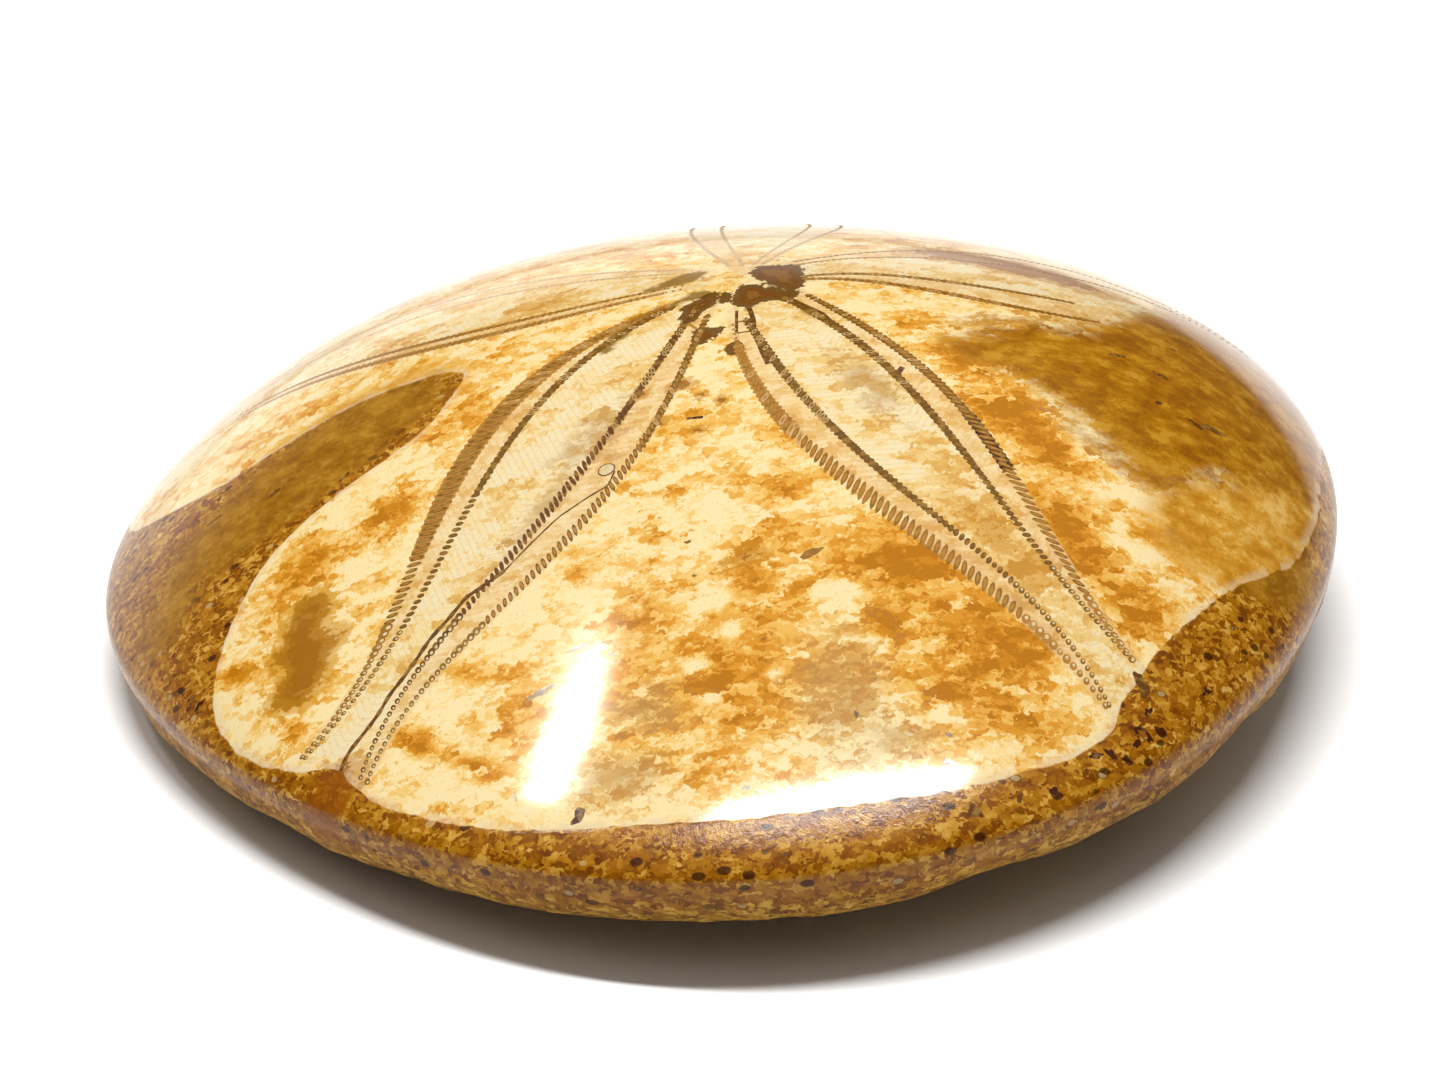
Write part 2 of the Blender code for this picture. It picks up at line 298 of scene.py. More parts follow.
CREAM_PATCHES = (  # unstained crystals in the honey-coloured stone
    Blot(22.5, -20.4, 1.9, 0.9, -10, 1.4), Blot(22.2, -24.0, 1.8, 1.2, 0, 1.4),
    Blot(25.2, -21.0, 0.9, 0.6, 0, 1.2), Blot(21.0, -22.6, 0.8, 0.5, 0, 1.2),
    Blot(-7.2, -26.8, 1.0, 0.7, 20, 1.6), Blot(-2.9, -27.4, 1.5, 0.9, 10, 1.7),
    Blot(-3.8, -31.2, 1.5, 1.0, 0, 1.5), Blot(-1.8, -29.4, 0.9, 0.7, 60, 1.5),
    Blot(4.2, -27.9, 1.9, 0.9, 0, 1.4), Blot(0.5, -32.6, 0.7, 1.1, 0, 1.3),
    Blot(6.2, -31.4, 0.9, 0.7, 0, 1.2), Blot(-3.1, -33.3, 0.8, 0.6, 0, 1.2),
    Blot(19.8, -20.4, 1.2, 0.7, -20, 1.1), Blot(-9.0, -21.0, 2.0, 1.0, 40, 0.8),
    Blot(-28.6, -27.0, 1.6, 0.8, -40, 1.2), Blot(-23.6, -23.4, 1.6, 1.0, 60, 1.0),
)  # fmt: skip
CLEAR_AREAS = (  # honey-coloured and clear enough to look into
    Blot(28.5, -20.0, 6.5, 4.2, 25, 1.3), Blot(32.0, -14.0, 5.0, 3.0, 60, 1.2),
    Blot(-28.5, -6.6, 12.5, 4.6, 22, 1.3), Blot(-36.5, -12.0, 6.0, 3.0, 70, 0.6),
)  # fmt: skip


def rounded(corners, steps=4):
    """A closed outline through these corners, without corners."""
    corners = np.array(corners)
    before, after = np.roll(corners, 1, axis=0), np.roll(corners, -1, axis=0)
    beyond = np.roll(corners, -2, axis=0)
    t = np.linspace(0, 1, steps, endpoint=False)[None, :, None]
    p0, p1, p2, p3 = (points[:, None, :] for points in (before, corners, after, beyond))
    curve = p1 + t / 2 * (p2 - p0) + t**2 * (p0 - 2.5 * p1 + 2 * p2 - p3 / 2)
    curve = curve + t**3 * (1.5 * (p1 - p2) + (p3 - p0) / 2)
    return curve.reshape(-1, 2)


def inside_by(edge, x, y):
    """How far in millimetres each place is inside the outline; outside it is negative."""
    nearest = np.full(x.shape, np.inf)
    crossings = np.zeros(x.shape, int)
    for (ax, ay), (bx, by) in zip(edge, np.roll(edge, -1, axis=0)):
        run, rise = bx - ax, by - ay
        share = np.clip(((x - ax) * run + (y - ay) * rise) / (run**2 + rise**2), 0, 1)
        nearest = np.minimum(nearest, np.hypot(x - ax - share * run, y - ay - share * rise))
        spans = (ay > y) != (by > y)
        crossings += spans & (x < ax + (y - ay) * run / (rise if rise else TINY))
    return np.where(crossings % 2 == 1, nearest, -nearest)


def blotted(blots, x, y):
    """The strongest of the blots at each place: its amount in the middle, 0 at its edge."""
    total = np.full(x.shape, -1.0)
    for spot in blots:
        turn = radians(spot.degrees)
        along = (x - spot.x) * cos(turn) + (y - spot.y) * sin(turn)
        across = (y - spot.y) * cos(turn) - (x - spot.x) * sin(turn)
        away = np.hypot(along / spot.half_length, across / spot.half_width)
        total = np.maximum(total, spot.amount * (1 - away))
    return total


# The petals: each has two rows of pores on either side of its axis
STATIONS = (4, 7, 11, 18, 26, 37.5)  # along the axis from the apex
Petal = namedtuple("Petal", "degrees outer_right inner_right inner_left outer_left")
PETALS = (
    Petal(
        -129.4,
        (-2.9, -4.1, -6.1, -6.3, -4.5, -1.9),
        (-2.5, -3.4, -4.5, -4.2, -2.7, -1.6),
        (-0.7, 0.0, 1.0, 1.8, 1.6, 1.9),
        (0.4, 1.7, 3.1, 4.5, 3.8, 2.6),
    ),
    Petal(
        -58.9,
        (-3.2, -4.6, -5.7, -6.1, -4.7, -1.9),
        (-2.3, -2.9, -3.9, -4.1, -3.1, -1.4),
        (1.1, 1.3, 1.7, 1.3, 0.7, 1.5),
        (2.4, 2.6, 3.1, 3.2, 2.3, 1.6),
    ),
    Petal(
        8.5,
        (-0.3, -1.0, -3.4, -6.0, -5.2, -2.6),
        (0.2, 0.1, -1.4, -3.4, -3.2, -1.6),
        (2.6, 3.2, 3.2, 2.8, 2.6, 1.6),
        (3.4, 4.2, 4.9, 5.8, 5.0, 2.8),
    ),
    Petal(
        86.0,
        (-1.2, -2.6, -4.5, -6.1, -4.8, -2.4),
        (-0.6, -1.6, -3.0, -3.9, -2.9, -1.6),
        (0.1, 0.7, 1.6, 2.2, 2.0, 1.3),
        (0.9, 2.2, 3.4, 4.4, 4.0, 2.3),
    ),
    Petal(
        167.5,
        (-3.4, -3.9, -4.7, -5.4, -5.0, -3.2),
        (-2.8, -3.0, -3.3, -3.6, -3.3, -2.4),
        (-0.5, 0.1, 1.2, 1.8, 1.5, 0.7),
        (0.1, 0.8, 2.2, 2.8, 2.4, 1.4),
    ),
)
PETAL_START, PETAL_END = 2.5, 39.0
PLATE_LEAN = 0.6  # the plates meet along lines that run back towards the apex
FAR = 99.0  # further than any place on the stone


def row_curve(offsets):
    """A smooth curve that gives a row's offset from the axis at any distance from the apex."""
    return np.poly1d(np.polyfit(STATIONS, offsets, len(STATIONS) - 2))


def petal_zones(x, y):
    """(how far inside the nearest petal's inner rows, how far outside its outer rows, plate line)."""
    inside = np.full(x.shape, -FAR)
    outside = np.full(x.shape, FAR)
    plate_line = np.zeros(x.shape)
    for petal in PETALS:
        turn = radians(petal.degrees)
        along = x * cos(turn) + y * sin(turn)
        across = y * cos(turn) - x * sin(turn)
        outer_right, inner_right, inner_left, outer_left = (
            row_curve(row)(np.clip(along, 0, PETAL_END)) for row in petal[1:]
        )
        beyond = np.maximum(PETAL_START - along, along - PETAL_END)
        inner = np.minimum(across - inner_right, inner_left - across)
        outer = np.maximum(outer_right - across, across - outer_left)
        inner, outer = np.minimum(inner, -beyond), np.maximum(outer, beyond)
        plate_line = np.where(outer < outside, along + PLATE_LEAN * np.abs(across), plate_line)
        inside, outside = np.maximum(inside, inner), np.minimum(outside, outer)
    return inside, outside, plate_line


FINE_LUMP_SIZE, FINE_LUMP_HEIGHT = 0.0016, 0.00012
GRAIN_SIZE, GRAIN_HEIGHT = 0.0007, 0.00007


def fine_cast():
    """The whole stone, finely carved, with a layer of values for each of its colours."""
    blank = turned_blank()
    mesh = bpy.data.meshes.new("polished_cast")
    blank.to_mesh(mesh)
    blank.free()
    flat = np.empty(len(mesh.vertices) * 3)
    mesh.vertices.foreach_get("co", flat)
    blank_points = flat.reshape(-1, 3)
    points = test_points(blank_points)
    rough = rough_share(blank_points, points)
    for index in np.nonzero(rough)[0]:
        place = Vector(points[index])
        swell = LUMP_HEIGHT * noise.noise(place / LUMP_SIZE)
        swell += FINE_LUMP_HEIGHT * noise.noise(place / FINE_LUMP_SIZE)
        swell += GRAIN_HEIGHT * noise.noise(place / GRAIN_SIZE)
        outwards = np.array([place.x, place.y, 0]) / max(hypot(place.x, place.y), TINY)
        points[index] += outwards * swell * rough[index]
    x, y = points[:, 0] / MM, points[:, 1] / MM
    azimuth = np.arctan2(y, x)
    back = [radians(d) for d in range(BACK_FROM, BACK_TO, BACK_STEP)]
    behind = [
        (outline(a) / MM * BACK_SHARE * cos(a), outline(a) / MM * BACK_SHARE * sin(a)) for a in back
    ]
    below = blank_points[:, 2] < 1 - NEARLY
    drop = np.where(below, (margin_height(azimuth) - points[:, 2]) / MM, 0.0)
    inside, outside, plate_line = petal_zones(x, y)
    fields = {
        "calcite": inside_by(rounded(CALCITE_EDGE + tuple(behind)), x, y),
        "tongue": inside_by(rounded(RIGHT_TONGUE), x, y),
        "honey": blotted(HONEY_AREAS, x, y),
        "stain": blotted(BROWN_STAINS, x, y),
        "lilac_and_painted_reflection": blotted(LILAC_TINTS_AND_PAINTED_REFLECTIONS, x, y),
        "cream": blotted(CREAM_PATCHES, x, y),
        "clear": blotted(CLEAR_AREAS, x, y),
        "deep": inside_by(rounded(STAIN_OUTLINE), x, y),
        "brown": np.max([inside_by(rounded(edge), x, y) for edge in BROWN_BLOTCHES], axis=0),
        "olive": np.max([inside_by(rounded(edge), x, y) for edge in OLIVE_BLOTCHES], axis=0),
        "plate_line": plate_line,
        "petal": inside,
        "off_petal": outside,
        "down": drop,
        "rough": rough,
        "under": (blank_points[:, 2] < NEARLY).astype(float),
        "groove": groove(x * MM, y * MM - MOUTH_Y),
    }
    fields["calcite"] = np.where(below, np.minimum(fields["calcite"], -drop), fields["calcite"])
    for name, values in fields.items():
        layer = mesh.attributes.new(name, "FLOAT", "POINT")
        layer.data.foreach_set("value", values.astype(np.float32))
    points += (APEX_X, APEX_Y, 0)
    mesh.vertices.foreach_set("co", points.ravel())
    mesh.shade_smooth()
    piece = bpy.data.objects.new("polished_cast", mesh)
    bpy.context.scene.collection.objects.link(piece)
    return piece


def colour(code):
    """A #rrggbb colour as Blender's linear values."""
    parts = [int(code[i : i + 2], 16) / 255 for i in (1, 3, 5)]
    return (*(v / 12.92 if v <= 0.04045 else ((v + 0.055) / 1.055) ** 2.4 for v in parts), 1)


def add(tree, kind, inputs=(), output=0, stops=(), **settings):
    """Adds a node, sets or links its inputs, and gives back one of its outputs."""
    node = tree.nodes.new("ShaderNode" + kind)
    for name, value in settings.items():
        setattr(node, name, value)
    for key, value in inputs.items() if isinstance(inputs, dict) else enumerate(inputs):
        if isinstance(value, bpy.types.NodeSocket):
            tree.links.new(value, node.inputs[key])
        else:
            node.inputs[key].default_value = colour(value) if isinstance(value, str) else value
    for index, (start, code) in enumerate(stops):
        elements = node.color_ramp.elements
        stop = elements[index] if index < 2 else elements.new(start)
        stop.position, stop.color = start, colour(code)
    return node.outputs[output]


# Settings that many nodes share
TIMES, PLUS = {"operation": "MULTIPLY"}, {"operation": "ADD"}
SHARE_OF = {"operation": "MULTIPLY_ADD"}  # first times second, plus third
HIGHER = {"operation": "MAXIMUM"}
SMOOTH = {"interpolation_type": "SMOOTHSTEP"}
PAINT = {"data_type": "RGBA", "output": 2}
AMOUNT, BELOW, ABOVE = 0, 6, 7  # the inputs of a node that lays one colour over another

# How coarse each pattern is, in millimetres
GRAIN, CLUSTER, WAVER = 0.34, 0.75, 0.45  # crystals, groups that took stain alike, their wavy edges
PATCH, FLECK, FINE, STREAK = 2.6, 0.9, 0.22, 1.6  # of the honey stain
PLATE_PITCH = 0.46
SILT_GRAIN, CLOUD, SPECK = 0.30, 1.6, 0.9
RAGGED_EDGE, CLAY_PATCH = 1.4, 2.5
PITTING, PIT_DEPTH = 0.30, 0.12


def stone():
    """Calcite takes a glassy polish and shows crystal grains; siltstone is duller and specked."""
    material = bpy.data.materials.new("polished_stone")
    material.use_nodes = True
    tree = material.node_tree
    shader = tree.nodes["Principled BSDF"]
    place = add(tree, "TexCoord", output="Object")
    mm = add(tree, "VectorMath", {0: place, "Scale": 1 / MM}, operation="SCALE")
    names = ("calcite", "tongue", "honey", "stain", "lilac_and_painted_reflection", "cream", "clear", "deep", "brown", "olive")
    names += ("plate_line", "petal", "off_petal", "down", "rough", "under", "groove")
    field = {name: add(tree, "Attribute", output="Fac", attribute_name=name) for name in names}

    # Crystal grains, longer one way: each takes one value, so that stains end along grain edges
    leaning = add(tree, "Mapping", {"Vector": mm, "Rotation": (0, 0, radians(8)), "Scale": (0.62, 1, 1)})
    wavy = add(tree, "TexNoise", {"Vector": mm, "Scale": 1 / WAVER, "Detail": 3}, output="Color")
    shaken = add(tree, "VectorMath", (leaning, wavy), **PLUS)
    grain = add(tree, "TexVoronoi", {"Vector": shaken, "Scale": 1 / GRAIN}, output="Position")
    cluster = add(tree, "TexVoronoi", {"Vector": shaken, "Scale": 1 / CLUSTER}, output="Position")
    patch = add(tree, "TexNoise", {"Vector": cluster, "Scale": 1 / PATCH, "Detail": 3, "Roughness": 0.6})
    fleck = add(tree, "TexNoise", {"Vector": grain, "Scale": 1 / FLECK, "Detail": 3, "Roughness": 0.65})
    fine = add(tree, "TexNoise", {"Vector": mm, "Scale": 1 / FINE, "Detail": 3, "Roughness": 0.7})
    long_streaks = {"Vector": leaning, "Scale": 1 / STREAK, "Detail": 5, "Roughness": 0.65}
    streak = add(tree, "TexNoise", long_streaks)
    own = add(tree, "SeparateColor", (grain.node.outputs["Color"],))
    shared = add(tree, "SeparateColor", (cluster.node.outputs["Color"],))
    mosaic = add(tree, "Math", (own, 0.8, shared), **SHARE_OF)

    honey = add(tree, "Math", (field["honey"], -0.4), **HIGHER)
    cream = add(tree, "Math", (field["cream"], 0.0), **HIGHER)
    level = add(tree, "Math", (fleck, 0.35, patch), **SHARE_OF)
    level = add(tree, "Math", (mosaic, 0.28, level), **SHARE_OF)
    level = add(tree, "Math", (honey, 0.23, level), **SHARE_OF)
    level = add(tree, "Math", (cream, -0.30, level), **SHARE_OF)
    calcite = add(
        tree,
        "ValToRGB",
        (add(tree, "MapRange", (level, 0.55, 1.48)),),
        stops=(
            (0.0, "#e6d19e"), (0.28, "#e6c98c"), (0.36, "#e1bb70"), (0.44, "#dcad56"), (0.51, "#d6a044"),
            (0.58, "#cd8e2a"), (0.67, "#c07f18"), (0.78, "#b0710d"),
        ),
    )  # fmt: skip
    calcite.node.color_ramp.interpolation = "CONSTANT"

    # Inside a petal the shell is paler, ruled across by fine plate lines
    within = add(tree, "Math", (fleck, 0.4, field["petal"]), **SHARE_OF)
    within = add(tree, "MapRange", (within, 0.1, 0.5, 0, 0.7), **SMOOTH)
    plate_tone = add(tree, "Math", (mosaic, 0.18, patch), **SHARE_OF)
    plate_tone = add(tree, "Math", (honey, 0.15, plate_tone), **SHARE_OF)
    plates = add(
        tree,
        "ValToRGB",
        (plate_tone,),
        stops=(
            (0.0, "#dccda8"), (0.55, "#dfca9a"), (0.64, "#d8bb7e"), (0.74, "#cda760"),
            (0.86, "#c2913e"),
        ),
    )  # fmt: skip
    plates.node.color_ramp.interpolation = "CONSTANT"
    between = add(tree, "MapRange", (field["petal"], 0.1, -0.1), **SMOOTH)
    between = add(tree, "Math", (between, 0.65), **TIMES)
    near_row = add(tree, "MapRange", (field["off_petal"], 0.45, 0.25), **SMOOTH)
    between = add(tree, "Math", (between, near_row), **TIMES)
    strip_stops = ((0.40, "#dfc69a"), (0.50, "#d8bb8a"), (0.58, "#cca566"))
    strip = add(tree, "ValToRGB", (fleck,), stops=strip_stops)
    phase = add(tree, "Math", (field["plate_line"], 2 * pi / PLATE_PITCH), **TIMES)
    ruled = add(tree, "Math", (phase,), operation="SINE")
    ruled = add(tree, "MapRange", (ruled, 0.5, 0.95, 0, 0.16), **SMOOTH)
    in_shell = add(tree, "MapRange", (field["off_petal"], 0.1, -0.2), **SMOOTH)
    ruled = add(tree, "Math", (ruled, in_shell), **TIMES)

    # Stains, and a grey tint: real lilac in the petals, a painted reflection at the front
    grey_tint_and_painted_reflection = add(tree, "Math", (mosaic, 0.7, field["lilac_and_painted_reflection"]), **SHARE_OF)
    grey_tint_and_painted_reflection = add(tree, "Math", (fleck, 0.8, grey_tint_and_painted_reflection), **SHARE_OF)
    soak = add(tree, "Math", (fleck, 0.7, field["stain"]), **SHARE_OF)
    soak = add(tree, "Math", (mosaic, 0.35, soak), **SHARE_OF)
    deep = add(tree, "Math", (fleck, 1.0, field["deep"]), **SHARE_OF)
    deep = add(tree, "Math", (mosaic, 0.45, deep), **SHARE_OF)
    olive = add(tree, "Math", (fleck, 1.4, field["olive"]), **SHARE_OF)
    brown = add(tree, "Math", (fleck, 0.8, field["brown"]), **SHARE_OF)
    brown = add(tree, "Math", (mosaic, 0.25, brown), **SHARE_OF)
    clear = add(tree, "Math", (patch, 0.6, field["clear"]), **SHARE_OF)
    clear = add(tree, "MapRange", (clear, 0.2, 0.7), **SMOOTH)
    honeyed = add(
        tree,
        "ValToRGB",
        (add(tree, "Math", (mosaic, 0.14, streak), **SHARE_OF),),
        stops=((0.44, "#b27a1c"), (0.56, "#c08827"), (0.67, "#cc9a3e"), (0.78, "#d8b062")),
    )
    # The tongue on the right lies under a skin of calcite, so its edge is soft
    tongue = add(tree, "Math", (patch, 4.0, field["tongue"]), **SHARE_OF)
    tongue = add(tree, "Math", (fleck, 2.5, tongue), **SHARE_OF)
    tongue = add(tree, "MapRange", (tongue, 2.4, 4.8), **SMOOTH)
    deep_brown = add(
        tree,
        "ValToRGB",
        (add(tree, "Math", (mosaic, 0.12, streak), **SHARE_OF),),
        stops=((0.44, "#8c5806"), (0.56, "#9b6508"), (0.66, "#a9740f"), (0.76, "#b98826")),
    )
    for amount, above in (
        (within, plates),
        (between, strip),
        (ruled, "#b58f59"),
        # grey tint: real lilac in the petals, a painted reflection at the front
        (add(tree, "MapRange", (grey_tint_and_painted_reflection, 0.80, 1.90, 0, 0.62), **SMOOTH), "#ad8754"),
        (add(tree, "MapRange", (soak, 0.48, 0.64, 0, 0.6), **SMOOTH), "#b87f24"),
        (add(tree, "MapRange", (soak, 0.88, 1.02, 0, 0.8), **SMOOTH), "#915a14"),
        (add(tree, "MapRange", (deep, 0.20, 0.60, 0, 0.65), **SMOOTH), "#c3902f"),
        (add(tree, "MapRange", (deep, 0.85, 1.20, 0, 0.8), **SMOOTH), "#a26c10"),
        (add(tree, "MapRange", (deep, 1.50, 1.90, 0, 0.5), **SMOOTH), "#8c5607"),
        (clear, honeyed),
        (tongue, deep_brown),
        (add(tree, "MapRange", (olive, 0.55, 0.95, 0, 0.75), **SMOOTH), "#94691c"),
        (add(tree, "MapRange", (olive, 0.90, 0.94, 0, 0.5), **SMOOTH), "#765812"),
        (add(tree, "MapRange", (brown, 0.45, 0.58, 0, 0.95), **SMOOTH), "#64400c"),
        (add(tree, "MapRange", (brown, 0.92, 1.02, 0, 0.85), **SMOOTH), "#74450f"),
        (add(tree, "MapRange", (brown, 1.32, 1.45, 0, 0.6), **SMOOTH), "#8a6326"),
        (add(tree, "MapRange", (fine, 0.58, 0.68, 0, 0.3), **SMOOTH), "#ac8342"),
    ):
        calcite = add(tree, "Mix", {AMOUNT: amount, BELOW: calcite, ABOVE: above}, **PAINT)

    # Siltstone: silt grains of many browns, dark iron specks and a few bright crystals
    silt = add(tree, "TexVoronoi", {"Vector": shaken, "Scale": 1 / SILT_GRAIN}, output="Color")
    tone = add(tree, "SeparateColor", (silt,))
    cloud = add(tree, "TexNoise", {"Vector": mm, "Scale": 1 / CLOUD, "Detail": 5, "Roughness": 0.65})
    grains = add(tree, "Math", (cloud, 1.2, tone), **SHARE_OF)
    matrix = add(
        tree,
        "ValToRGB",
        (add(tree, "MapRange", (grains, 0.3, 1.9)),),
        stops=(
            (0.0, "#592c00"), (0.22, "#774302"), (0.34, "#885102"), (0.48, "#996107"), (0.62, "#a97312"),
            (0.78, "#bf8e33"), (0.92, "#d3a954"),
        ),
    )  # fmt: skip
    specks = add(tree, "TexVoronoi", {"Vector": leaning, "Scale": 1 / SPECK, "Randomness": 1.0})
    split = add(tree, "SeparateColor", {0: specks.node.outputs["Color"]})
    dark = add(tree, "MapRange", (split.node.outputs[1], 0.70, 0.72), **SMOOTH)
    dark = add(tree, "Math", (dark, add(tree, "MapRange", (specks, 0.32, 0.22), **SMOOTH)), **TIMES)
    bright = add(tree, "MapRange", (split.node.outputs[2], 0.86, 0.88), **SMOOTH)
    bright = add(tree, "Math", (bright, add(tree, "MapRange", (specks, 0.26, 0.20), **SMOOTH)), **TIMES)
    smooth_stops = ((0.40, "#885b06"), (0.50, "#97690d"), (0.60, "#a97b21"))
    smooth = add(tree, "ValToRGB", (streak,), stops=smooth_stops)
    for amount, above in (
        (add(tree, "Math", (dark, 0.85), **TIMES), "#3a1503"),
        (add(tree, "Math", (bright, 0.7), **TIMES), "#bd9f69"),
        (add(tree, "MapRange", (field["clear"], 0.0, 0.5, 0, 0.8), **SMOOTH), smooth),
        (add(tree, "MapRange", (soak, 0.78, 1.25, 0, 0.75), **SMOOTH), "#8f4e04"),
    ):
        matrix = add(tree, "Mix", {AMOUNT: amount, BELOW: matrix, ABOVE: above}, **PAINT)

    # The calcite ends in a ragged edge with a pale lip; the flank is dusty, the base clay-coated
    ragged = add(tree, "TexNoise", {"Vector": mm, "Scale": 1 / RAGGED_EDGE, "Detail": 2})
    edge = add(tree, "Math", (ragged, 0.4, field["calcite"]), **SHARE_OF)
    edge = add(tree, "Math", (edge, -0.2), **PLUS)
    lip = add(tree, "MapRange", (edge, 0.55, 0.1, 0, 0.5), **SMOOTH)
    lip = add(tree, "Math", (lip, add(tree, "MapRange", (ragged, 0.42, 0.55), **SMOOTH)), **TIMES)
    dusty = add(
        tree,
        "ValToRGB",
        (add(tree, "MapRange", (grains, 0.3, 1.9)),),
        stops=((0.1, "#4b2b00"), (0.3, "#7b5504"), (0.5, "#99721a"), (0.8, "#bb9845")),
    )
    clay = add(tree, "TexNoise", {"Vector": mm, "Scale": 1 / CLAY_PATCH, "Detail": 5, "Roughness": 0.65})
    clay = add(tree, "ValToRGB", (clay,), stops=((0.35, "#745a3b"), (0.65, "#9c8259")))
    beneath = add(tree, "Math", (field["groove"], 0.35), **TIMES)
    lipped = add(tree, "Mix", {AMOUNT: lip, BELOW: calcite, ABOVE: "#d2bb9c"}, **PAINT)
    base = add(tree, "Mix", {AMOUNT: beneath, BELOW: clay, ABOVE: "#593f21"}, **PAINT)
    body = matrix
    for amount, above in (
        (add(tree, "MapRange", (edge, -0.06, 0.04), **SMOOTH), lipped),
        (add(tree, "MapRange", (field["down"], 0.6, 3.0, 0, 0.75), **SMOOTH), dusty),
        (field["under"], base),
    ):
        body = add(tree, "Mix", {AMOUNT: amount, BELOW: body, ABOVE: above}, **PAINT)
    tree.links.new(body, shader.inputs["Base Color"])

    # Calcite is glossy, siltstone less so, and broken stone is matt
    polish = add(tree, "MapRange", (edge, -0.1, 0.1, 0.22, 0.10), **SMOOTH)
    broken = add(tree, "MapRange", (field["down"], 0.0, 1.2, 0, 0.62), **SMOOTH)
    broken = add(tree, "Math", (add(tree, "Math", (field["under"], 0.75), **TIMES), broken), **HIGHER)
    tree.links.new(add(tree, "Math", (polish, broken), **HIGHER), shader.inputs["Roughness"])
    shader.inputs["IOR"].default_value = 1.45
    shader.inputs["Specular IOR Level"].default_value = 0.35
    uneven = add(tree, "MapRange", (edge, 0.0, -0.2, 0.015, 0.25), **SMOOTH)
    uneven = add(tree, "Math", (field["rough"], uneven), **PLUS)
    pitted = add(tree, "TexNoise", {"Vector": mm, "Scale": 1 / PITTING, "Detail": 3, "Roughness": 0.7})
    relief = add(tree, "Math", (pitted, uneven), **TIMES)
    bump = add(tree, "Bump", {"Height": relief, "Distance": PIT_DEPTH * MM, "Strength": 0.8})
    tree.links.new(bump, shader.inputs["Normal"])
    return material


cast = fine_cast()
cast.data.materials.append(stone())
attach(cast, "root")
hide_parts("fossil_urchin")

# ---------------------------------------------------------------------------------------
# The stain lines. Iron has crept along the rows of pores and the joints of the apical plates;
# it lies in the calcite as ribbons of gold, brown and dark red, ground flush with it.

INLAY_DEPTH = 0.00006
STAIN_PROUD = 0.000004  # over the polished face, so that the renderer tells the two apart
RIBBON_STEP = 0.10
# The pores along a row give its stain teeth, higher and lower by turns, as far as they are filled
SERRATION, SERRATION_PITCH, SERRATION_TURNS, SERRATION_END = 0.06, 0.41, 3.1, 30
LINE_STEPS = 4  # for each corner of a line
PALE, GOLDEN, OLIVE, BROWN, PURPLE, DARK = 0.0, 0.2, 0.4, 0.6, 0.8, 1.0  # tones of the stain
Line = namedtuple("Line", "tone half_width path")
STAIN_LINES = (
    Line(BROWN, 0.10, ((-0.4, -3.4), (-0.5, -6.0))),
    Line(BROWN, 0.10, ((0.5, -4.8), (0.4, -6.2))),
    Line(OLIVE, 0.08, ((-0.45, -4.8), (0.5, -4.8))),
    Line(OLIVE, 0.08, ((-0.5, -6.1), (0.6, -6.1))),
    Line(BROWN, 0.16, ((0.4, -3.3), (0.6, -4.8), (0.6, -6.3), (0.8, -7.4), (1.0, -8.5), (1.3, -9.8))),
    Line(BROWN, 0.20, ((3.0, -2.6), (3.7, -3.5), (4.4, -4.3), (4.9, -4.9), (5.4, -6.0))),
    Line(DARK, 0.10, ((-3.8, -13.4), (-2.8, -13.6))),
    Line(GOLDEN, 0.10, ((-3.7, -3.6), (-3.0, -4.7))),
    Line(PURPLE, 0.18, ((8.9, -12.0), (9.4, -11.1))),
)  # fmt: skip


def surface_height(x, y):
    """Height of the polished top over a plan position in millimetres from the apex."""
    azimuth = np.arctan2(y, x)
    share = np.minimum(np.hypot(x, y) * MM / outline(azimuth), 1.0)
    return dome_height(azimuth, share)


def through(corners, steps):
    """Places on a line through these corners, so many steps for each corner."""
    knots = np.linspace(0, len(corners) - 1, steps * len(corners))
    axes = (np.interp(knots, range(len(corners)), axis) for axis in zip(*corners))
    return np.stack(list(axes), axis=1)


def ribbon(shapes, path, half_widths, tone):
    """A strip along a path, drawn flat."""
    path = np.array(path, float)
    heading = np.gradient(path, axis=0)
    sideways = np.stack([-heading[:, 1], heading[:, 0]], axis=1)
    sideways /= np.linalg.norm(heading, axis=1)[:, None]
    last = len(path) - 1
    strip = bmesh.ops.create_grid(shapes, x_segments=last, y_segments=1, size=1)
    for corner in strip["verts"]:
        index = round((corner.co.x + 1) / 2 * last)
        x, y = path[index] + sideways[index] * half_widths[index] * corner.co.y
        corner.co = (x, y, 0)
        corner[shapes.verts.layers.float["tone"]] = tone


def lay_on_top(shapes, name, proud, material):
    """Gives shapes drawn flat, in millimetres, a thickness, and lays them in the stone."""
    body = bmesh.ops.extrude_face_region(shapes, geom=shapes.faces[:], use_keep_orig=True)
    lower = [part for part in body["geom"] if isinstance(part, bmesh.types.BMVert)]
    bmesh.ops.translate(shapes, verts=lower, vec=(0, 0, -1))
    for corner in shapes.verts:
        height = float(surface_height(corner.co.x, corner.co.y))
        height += proud - (INLAY_DEPTH if corner.co.z < -0.5 else 0.0)
        corner.co = (corner.co.x * MM + APEX_X, corner.co.y * MM + APEX_Y, height)
    bmesh.ops.recalc_face_normals(shapes, faces=shapes.faces)
    mesh = bpy.data.meshes.new(name)
    shapes.to_mesh(mesh)
    shapes.free()
    mesh.materials.append(material)
    inlay = bpy.data.objects.new(name, mesh)
    bpy.context.scene.collection.objects.link(inlay)
    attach(inlay, "root")
    return inlay


MOTTLE = 0.5


